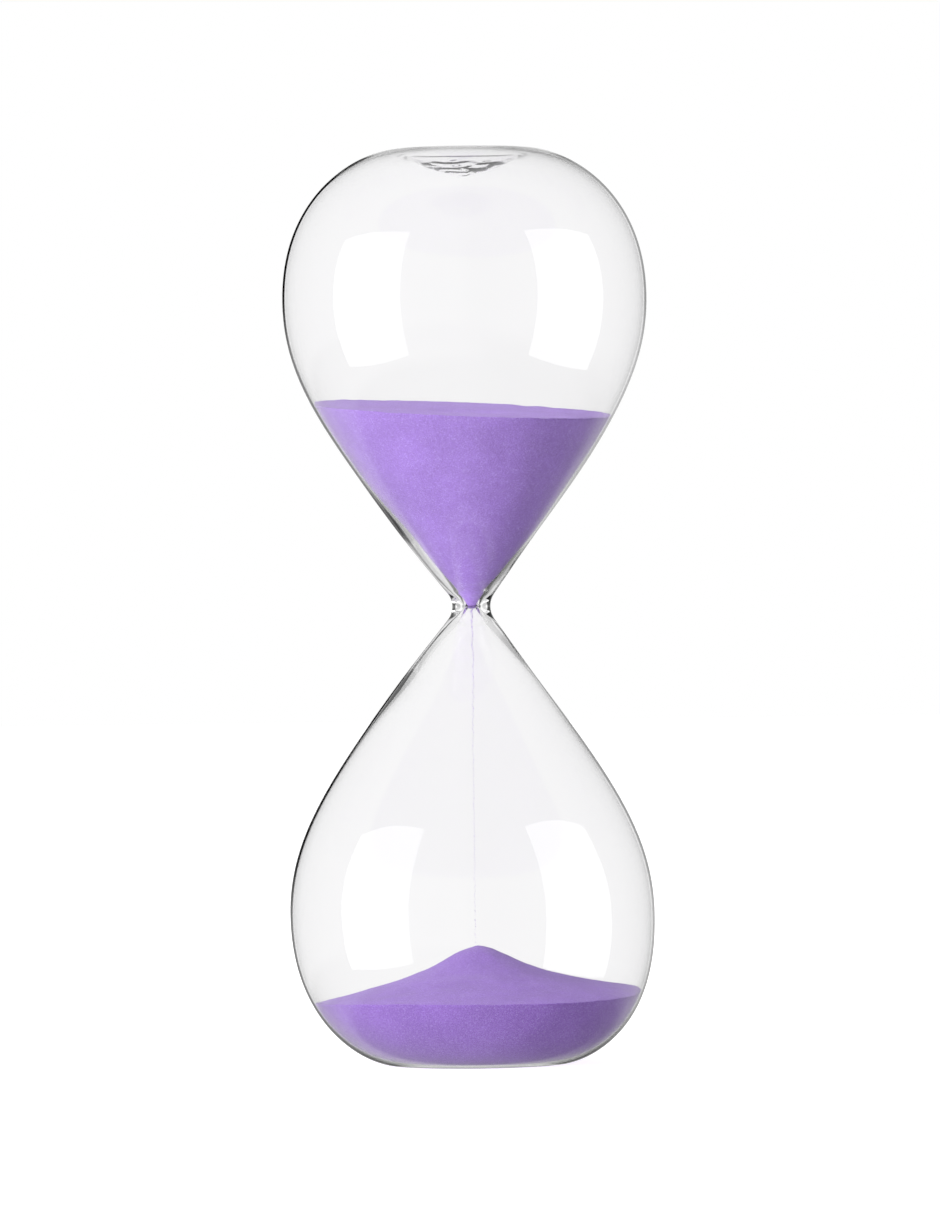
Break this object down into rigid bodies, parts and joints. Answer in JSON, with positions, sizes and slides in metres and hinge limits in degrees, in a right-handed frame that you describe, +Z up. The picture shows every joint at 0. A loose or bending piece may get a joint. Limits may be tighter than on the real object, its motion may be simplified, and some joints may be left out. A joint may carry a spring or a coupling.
{
  "type": "hourglass",
  "caption": "Frameless clear blown-glass hourglass standing on its own flattened end, with dyed sand running from the upper bulb through the waist into the lower one.",
  "frame": {"origin": "centre of the foot ring that the glass stands on, in the plane of the table", "axes": "+Z up through the waist to the crown, +X to the right and -Y to the front as the hourglass is usually seen"},
  "size_m": [0.0852, 0.0852, 0.214],
  "materials": {
    "clear_glass": "clear colourless blown glass, fire-polished, with faint hand-blown waviness",
    "dyed_sand": "fine dry quartz sand dyed purple, matte, with slight grain-to-grain colour variation"
  },
  "bodies": {
    "root": {"upper_bulb": "clear_glass", "lower_bulb": "clear_glass", "fill_seal": "clear_glass", "upper_sand": "dyed_sand", "sand_stream": "dyed_sand", "lower_sand": "dyed_sand"}
  },
  "joints": []
}
